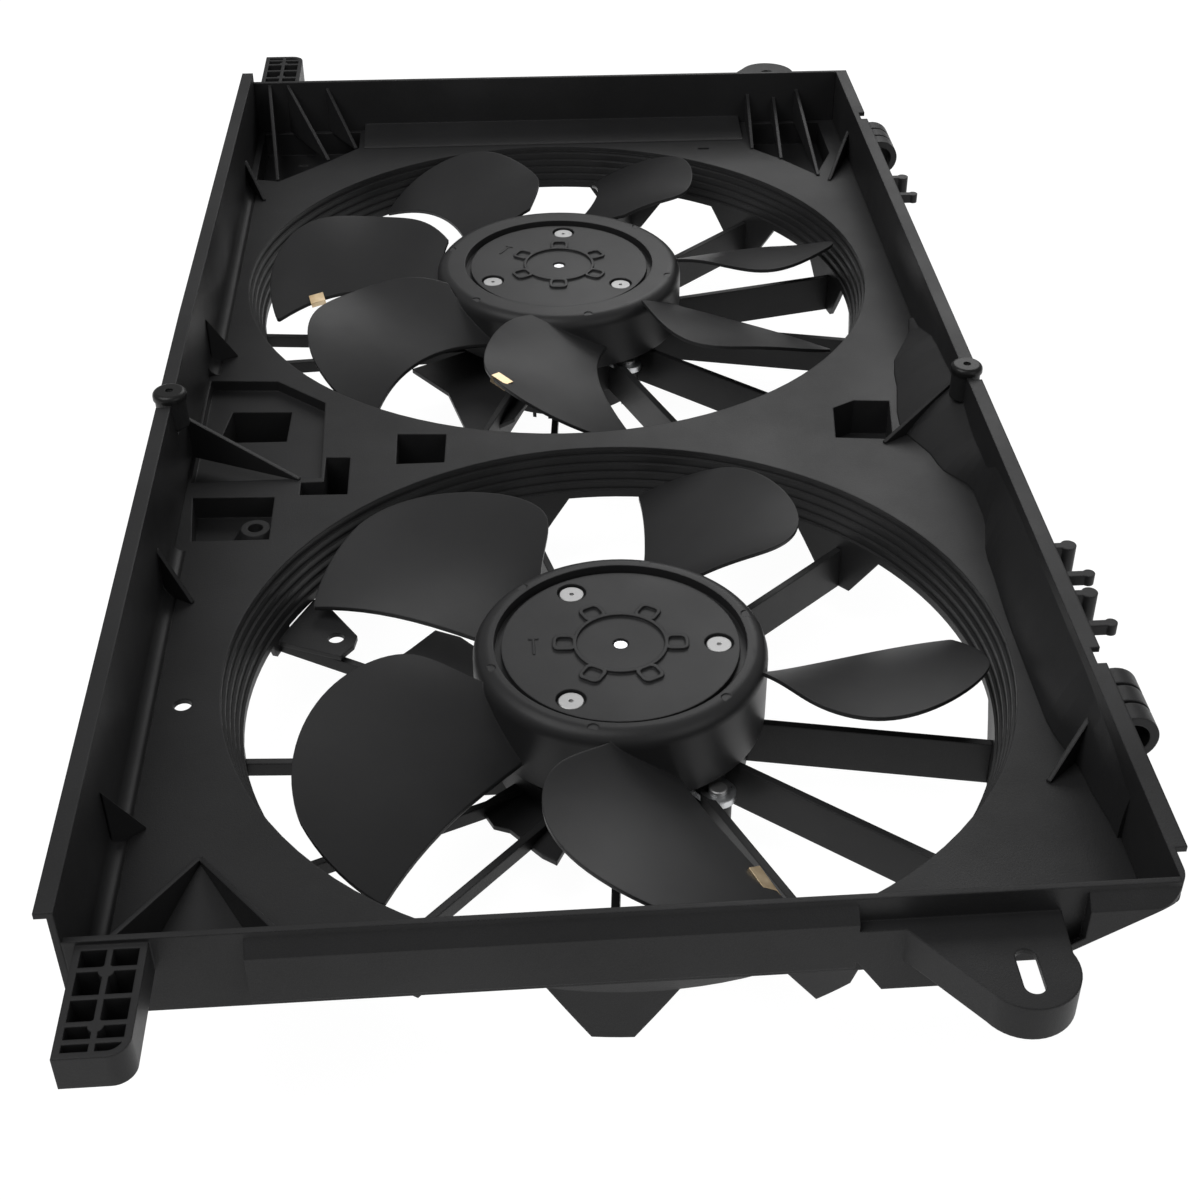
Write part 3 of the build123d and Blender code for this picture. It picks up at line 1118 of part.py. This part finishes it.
def main():
    """Make every node, stand the model on its lowest point and write the files."""
    os.makedirs("parts", exist_ok=True)
    nodes = {"shroud_deck": shroud_deck(), "left_wall": left_wall(), "right_wall": right_wall(),
             "near_wall": near_wall(), "far_wall": far_wall(), "push_pins": push_pins()}
    for spec in FANS:
        venturi = venturi_ring(spec)
        mount = motor_mount(spec)
        nodes[spec.name + "_venturi_ring"] = venturi
        nodes[spec.name + "_motor_mount"] = mount
        nodes[spec.name + "_motor_struts"] = motor_struts(spec, venturi, mount)
        nodes[spec.name + "_motor_housing"] = motor_housing(spec)
        nodes[spec.name + "_motor_screws"] = motor_screws(spec)
        nodes[spec.name + "_stator_core"] = stator_core(spec)
        nodes[spec.name + "_stator_coils"] = stator_coils(spec)
        nodes[spec.name + "_bearings"] = bearings(spec)
        nodes[spec.name + "_control_board"] = control_board(spec)
        nodes[spec.name + "_motor_cover"] = motor_cover(spec)
        nodes[spec.name + "_motor_connector"] = motor_connector(spec)
        fan = impeller(spec)
        nodes[spec.name + "_fan_impeller"] = fan
        nodes[spec.name + "_balance_clips"] = balance_clips(spec, fan)
        nodes[spec.name + "_rotor_cup"] = rotor_cup(spec)
        nodes[spec.name + "_rotor_magnets"] = rotor_magnets(spec)
        nodes[spec.name + "_rotor_shaft"] = rotor_shaft(spec)
        nodes[spec.name + "_fan_screws"] = fan_screws(spec)
    box = Compound([solid for shape in nodes.values() for solid in shape.solids()]).bounding_box()
    to_base = Pos(-(box.min.X + box.max.X) / 2, -(box.min.Y + box.max.Y) / 2, -box.min.Z)
    for name, shape in nodes.items():
        export_step(to_base * shape, os.path.join("parts", name + ".step"))
    print("shift", to_base.position)


main()
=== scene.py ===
import json
import math

import bpy
from mathutils import Euler, Matrix, Vector

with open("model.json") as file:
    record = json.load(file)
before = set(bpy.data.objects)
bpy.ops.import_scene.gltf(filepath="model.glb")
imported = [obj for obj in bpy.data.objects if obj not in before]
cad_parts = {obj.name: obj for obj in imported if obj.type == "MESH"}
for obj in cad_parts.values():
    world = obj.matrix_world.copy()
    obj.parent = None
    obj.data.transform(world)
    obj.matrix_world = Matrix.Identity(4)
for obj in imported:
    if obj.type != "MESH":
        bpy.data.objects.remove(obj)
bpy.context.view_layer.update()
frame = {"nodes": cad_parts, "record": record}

# Camera at the photograph's viewing angle: place in metres, turn in radians, lens in millimetres
CAMERA_PLACE = Vector((-0.04984, -0.97144, 0.67975))
CAMERA_TURN = Euler((0.91864, -0.01336, -0.08688), "XYZ")
CAMERA_LENS = 55.900
CAMERA_SHIFT = (-0.0500, 0.0083)

# Floor just under the motor covers, its diffuse shades and the glow that makes it look white
FLOOR_SIZE = 40.0
FLOOR_Z = -0.0005
FLOOR_SHADE = (0.80, 0.80, 0.80, 1)
SEEN_FLOOR_SHADE = (0.12, 0.12, 0.12, 1)
FLOOR_GLOW = 0.97
WHITE = (1, 1, 1, 1)
WORLD_LIGHT = 0.34

# Soft boxes: name, place, point they face, width and power
LIGHTS = [
    ("key", (-0.9, -0.4, 1.9), (0.0, 0.0, 0.08), 1.4, 26),
    ("back", (0.5, 1.7, 1.4), (0.0, 0.1, 0.08), 1.2, 13),
    ("fill", (1.2, -1.3, 1.1), (0.0, -0.1, 0.08), 1.2, 5),
]

# Scales of the textures per metre, the range of the mix that plastic's shades run over, and its gloss
CLOUD_SCALE = 9.0
MIX_RANGE = (0.5, 1.05)
PLASTIC_SPECULAR = 0.19
METAL_CLOUD_SCALE = 60.0
WIRE_SCALE = 330.0
BOARD_SCALE = 90.0
BEVEL_SAMPLES = 4


def material(name):
    """New material with an empty node tree, its shader and its output."""
    new = bpy.data.materials.new(name)
    new.use_nodes = True
    tree = new.node_tree
    tree.nodes.clear()
    output = tree.nodes.new("ShaderNodeOutputMaterial")
    shader = tree.nodes.new("ShaderNodeBsdfPrincipled")
    tree.links.new(shader.outputs["BSDF"], output.inputs["Surface"])
    return new, tree, shader


def place_coordinates(tree):
    """Object coordinates, which are the frame's own metres on every node."""
    return tree.nodes.new("ShaderNodeTexCoord").outputs["Object"]


def noise(tree, vector, scale, detail=2.0, roughness=0.5):
    """Noise texture's value."""
    node = tree.nodes.new("ShaderNodeTexNoise")
    node.inputs["Scale"].default_value = scale
    node.inputs["Detail"].default_value = detail
    node.inputs["Roughness"].default_value = roughness
    tree.links.new(vector, node.inputs["Vector"])
    return node.outputs["Fac"]


def ramp(tree, value, low, high, low_at=0.3, high_at=0.7):
    """Colour or grey level that runs from low to high as the value rises."""
    node = tree.nodes.new("ShaderNodeValToRGB")
    node.color_ramp.elements[0].position = low_at
    node.color_ramp.elements[1].position = high_at
    node.color_ramp.elements[0].color = (*low, 1)
    node.color_ramp.elements[1].color = (*high, 1)
    tree.links.new(value, node.inputs["Fac"])
    return node.outputs["Color"]


def spread(tree, value, low, high, low_at=0.3, high_at=0.7):
    """Number that runs from low to high as the value rises."""
    node = tree.nodes.new("ShaderNodeMapRange")
    node.inputs["From Min"].default_value = low_at
    node.inputs["From Max"].default_value = high_at
    node.inputs["To Min"].default_value = low
    node.inputs["To Max"].default_value = high
    tree.links.new(value, node.inputs["Value"])
    return node.outputs["Result"]


def combine(tree, first, second, share):
    """Sum of two heights, the second one weighted."""
    node = tree.nodes.new("ShaderNodeMath")
    node.operation = "MULTIPLY_ADD"
    node.inputs[1].default_value = share
    tree.links.new(second, node.inputs[0])
    tree.links.new(first, node.inputs[2])
    return node.outputs[0]


def bump(tree, height, distance, strength=1.0, normal=None):
    """Bump from a height."""
    node = tree.nodes.new("ShaderNodeBump")
    node.inputs["Distance"].default_value = distance
    node.inputs["Strength"].default_value = strength
    tree.links.new(height, node.inputs["Height"])
    if normal is not None:
        tree.links.new(normal, node.inputs["Normal"])
    return node.outputs["Normal"]


def soft_edges(tree, radius):
    """Normals that round off the sharp edges of a moulding or a casting."""
    node = tree.nodes.new("ShaderNodeBevel")
    node.samples = BEVEL_SAMPLES
    node.inputs["Radius"].default_value = radius
    return node.outputs["Normal"]


def moulded(name, dark, light, rough_low, rough_high, grain_size, grain_depth, edge):
    """Black moulded plastic: spark-eroded grain, faint cloudiness and rounded edges."""
    new, tree, shader = material(name)
    where = place_coordinates(tree)
    cloud = noise(tree, where, CLOUD_SCALE, 4.0, 0.6)
    speck = noise(tree, where, 1.0 / grain_size, 2.0, 0.6)
    mix = combine(tree, cloud, speck, 0.55)
    tree.links.new(ramp(tree, mix, dark, light, *MIX_RANGE), shader.inputs["Base Color"])
    tree.links.new(spread(tree, mix, rough_high, rough_low, *MIX_RANGE), shader.inputs["Roughness"])
    pits = noise(tree, where, 0.45 / grain_size, 3.0, 0.65)
    height = combine(tree, speck, pits, 0.8)
    tree.links.new(bump(tree, height, grain_depth, 1.0, soft_edges(tree, edge)), shader.inputs["Normal"])
    shader.inputs["Specular IOR Level"].default_value = PLASTIC_SPECULAR
    return new


def metal(name, dark, light, rough_low, rough_high, grain, depth, edge, metallic=1.0):
    """Metal with a cloudy tint, fine scratches or casting grain, and rounded edges."""
    new, tree, shader = material(name)
    where = place_coordinates(tree)
    cloud = noise(tree, where, METAL_CLOUD_SCALE, 4.0, 0.6)
    fine = noise(tree, where, 1.0 / grain, 3.0, 0.6)
    tree.links.new(ramp(tree, cloud, dark, light), shader.inputs["Base Color"])
    tree.links.new(spread(tree, cloud, rough_low, rough_high), shader.inputs["Roughness"])
    tree.links.new(bump(tree, fine, depth, 1.0, soft_edges(tree, edge)), shader.inputs["Normal"])
    shader.inputs["Metallic"].default_value = metallic
    return new


def wound_copper():
    """Enamelled copper wire laid in turns."""
    new, tree, shader = material("copper_wire")
    where = place_coordinates(tree)
    wave = tree.nodes.new("ShaderNodeTexWave")
    wave.bands_direction = "Z"
    wave.inputs["Scale"].default_value = WIRE_SCALE
    wave.inputs["Distortion"].default_value = 0.6
    tree.links.new(where, wave.inputs["Vector"])
    tree.links.new(ramp(tree, wave.outputs["Fac"], (0.28, 0.09, 0.03), (0.72, 0.33, 0.13)),
                   shader.inputs["Base Color"])
    tree.links.new(bump(tree, wave.outputs["Fac"], 0.0003), shader.inputs["Normal"])
    shader.inputs["Metallic"].default_value = 0.9
    shader.inputs["Roughness"].default_value = 0.32
    return new


def green_board():
    """Circuit board with a solder mask over its tracks."""
    new, tree, shader = material("circuit_board")
    where = place_coordinates(tree)
    cells = tree.nodes.new("ShaderNodeTexBrick")
    cells.inputs["Scale"].default_value = BOARD_SCALE
    cells.inputs["Mortar Size"].default_value = 0.03
    cells.inputs["Color1"].default_value = (0.012, 0.10, 0.045, 1)
    cells.inputs["Color2"].default_value = (0.016, 0.13, 0.06, 1)
    cells.inputs["Mortar"].default_value = (0.03, 0.19, 0.08, 1)
    tree.links.new(where, cells.inputs["Vector"])
    tree.links.new(cells.outputs["Color"], shader.inputs["Base Color"])
    tree.links.new(bump(tree, cells.outputs["Fac"], 0.0001), shader.inputs["Normal"])
    shader.inputs["Roughness"].default_value = 0.35
    return new


# Material of each slot. Plastics: dark and light shade, lowest and highest roughness, grain size, grain
# depth and edge radius. Metals: the same, and how metallic they are where that isn't wholly.
MATERIALS = {
    "moulded_plastic": moulded("moulded_plastic", (0.0098, 0.0098, 0.0101), (0.0200, 0.0200, 0.0206),
                               0.36, 0.52, 0.00055, 0.00007, 0.0012),
    "fan_plastic": moulded("fan_plastic", (0.0125, 0.0125, 0.0129), (0.0220, 0.0220, 0.0226),
                           0.34, 0.46, 0.0004, 0.00003, 0.0010),
    "pin_plastic": moulded("pin_plastic", (0.005, 0.005, 0.005), (0.012, 0.012, 0.012),
                           0.26, 0.36, 0.0005, 0.00002, 0.0006),
    "connector_plastic": moulded("connector_plastic", (0.02, 0.02, 0.02), (0.035, 0.035, 0.035),
                                 0.35, 0.5, 0.0005, 0.00003, 0.0005),
    "clip_metal": metal("clip_metal", (0.50, 0.36, 0.20), (0.80, 0.66, 0.46),
                        0.30, 0.48, 0.0006, 0.00003, 0.0003),
    "screw_metal": metal("screw_metal", (0.30, 0.30, 0.30), (0.46, 0.46, 0.46),
                         0.36, 0.55, 0.0005, 0.00004, 0.0004),
    "zinc_steel": metal("zinc_steel", (0.22, 0.22, 0.23), (0.38, 0.38, 0.38),
                        0.34, 0.5, 0.001, 0.00003, 0.0006),
    "magnet": metal("magnet", (0.07, 0.07, 0.075), (0.12, 0.12, 0.125),
                    0.55, 0.7, 0.0008, 0.00005, 0.0004, 0.2),
    "bright_steel": metal("bright_steel", (0.52, 0.52, 0.54), (0.68, 0.68, 0.70),
                          0.18, 0.3, 0.0012, 0.00001, 0.0004),
    "cast_aluminium": metal("cast_aluminium", (0.48, 0.49, 0.50), (0.72, 0.73, 0.74),
                            0.26, 0.46, 0.0014, 0.00012, 0.0010),
    "core_steel": metal("core_steel", (0.12, 0.12, 0.14), (0.24, 0.24, 0.26),
                        0.4, 0.55, 0.0006, 0.00006, 0.0003),
    "copper_wire": wound_copper(),
    "circuit_board": green_board(),
    "cover_paint": moulded("cover_paint", (0.010, 0.010, 0.011), (0.018, 0.018, 0.019),
                           0.32, 0.46, 0.0012, 0.00005, 0.0010),
}


def dress_nodes():
    """Give every CAD node the material of its slot."""
    for subpart in frame["record"]["subparts"]:
        mesh = frame["nodes"][subpart["node"]].data
        mesh.materials.clear()
        mesh.materials.append(MATERIALS[subpart["material_slot"]])


def floor_material():
    """Pale floor that the camera and mirrors see near white, with the object's shadow kept."""
    new = bpy.data.materials.new("floor_white")
    new.use_nodes = True
    tree = new.node_tree
    tree.nodes.clear()
    output = tree.nodes.new("ShaderNodeOutputMaterial")
    diffuse = tree.nodes.new("ShaderNodeBsdfDiffuse")
    diffuse.inputs["Color"].default_value = FLOOR_SHADE
    faint = tree.nodes.new("ShaderNodeBsdfDiffuse")
    faint.inputs["Color"].default_value = SEEN_FLOOR_SHADE
    glow = tree.nodes.new("ShaderNodeEmission")
    glow.inputs["Color"].default_value = WHITE
    glow.inputs["Strength"].default_value = FLOOR_GLOW
    seen = tree.nodes.new("ShaderNodeAddShader")
    choice = tree.nodes.new("ShaderNodeMixShader")
    tree.links.new(faint.outputs[0], seen.inputs[0])
    tree.links.new(glow.outputs[0], seen.inputs[1])
    tree.links.new(seen_directly(tree), choice.inputs["Fac"])
    tree.links.new(diffuse.outputs[0], choice.inputs[1])
    tree.links.new(seen.outputs[0], choice.inputs[2])
    tree.links.new(choice.outputs[0], output.inputs["Surface"])
    return new


def seen_directly(tree):
    """1 for camera, glossy and transmission rays, 0 for the rays that light things."""
    path = tree.nodes.new("ShaderNodeLightPath")
    total = path.outputs["Is Camera Ray"]
    for name in ("Is Glossy Ray", "Is Transmission Ray"):
        node = tree.nodes.new("ShaderNodeMath")
        node.operation = "MAXIMUM"
        tree.links.new(total, node.inputs[0])
        tree.links.new(path.outputs[name], node.inputs[1])
        total = node.outputs[0]
    return total


def make_floor():
    """Large plain floor just under the level that the fan rests on."""
    mesh = bpy.data.meshes.new("floor")
    half = FLOOR_SIZE / 2
    corners = [(x * half, y * half, FLOOR_Z) for x, y in ((-1, -1), (1, -1), (1, 1), (-1, 1))]
    mesh.from_pydata(corners, [], [(0, 1, 2, 3)])
    floor = bpy.data.objects.new("floor", mesh)
    bpy.context.collection.objects.link(floor)
    mesh.materials.append(floor_material())


def make_world():
    """World that lights softly and looks white."""
    world = bpy.data.worlds.new("studio")
    world.use_nodes = True
    tree = world.node_tree
    tree.nodes.clear()
    output = tree.nodes.new("ShaderNodeOutputWorld")
    light = tree.nodes.new("ShaderNodeBackground")
    light.inputs["Color"].default_value = WHITE
    light.inputs["Strength"].default_value = WORLD_LIGHT
    white = tree.nodes.new("ShaderNodeBackground")
    white.inputs["Color"].default_value = WHITE
    white.inputs["Strength"].default_value = 1.0
    choice = tree.nodes.new("ShaderNodeMixShader")
    path = tree.nodes.new("ShaderNodeLightPath")
    tree.links.new(path.outputs["Is Camera Ray"], choice.inputs["Fac"])
    tree.links.new(light.outputs[0], choice.inputs[1])
    tree.links.new(white.outputs[0], choice.inputs[2])
    tree.links.new(choice.outputs[0], output.inputs["Surface"])
    bpy.context.scene.world = world


def area_light(name, place, aim, size, power):
    """Square soft box that points at a place."""
    light = bpy.data.lights.new(name, "AREA")
    light.size = size
    light.energy = power
    holder = bpy.data.objects.new(name, light)
    bpy.context.collection.objects.link(holder)
    holder.location = place
    direction = Vector(aim) - Vector(place)
    holder.rotation_euler = direction.to_track_quat("-Z", "Y").to_euler()


def make_camera():
    """Camera at the photograph's viewing angle."""
    data = bpy.data.cameras.new("camera")
    data.sensor_width = 36.0
    data.lens = CAMERA_LENS
    data.shift_x, data.shift_y = CAMERA_SHIFT
    data.clip_start = 0.01
    camera = bpy.data.objects.new("camera", data)
    bpy.context.collection.objects.link(camera)
    camera.matrix_world = Matrix.Translation(CAMERA_PLACE) @ CAMERA_TURN.to_matrix().to_4x4()
    bpy.context.scene.camera = camera


dress_nodes()
make_floor()
make_world()
for row in LIGHTS:
    area_light(*row)
make_camera()
bpy.context.scene.view_settings.view_transform = "Standard"
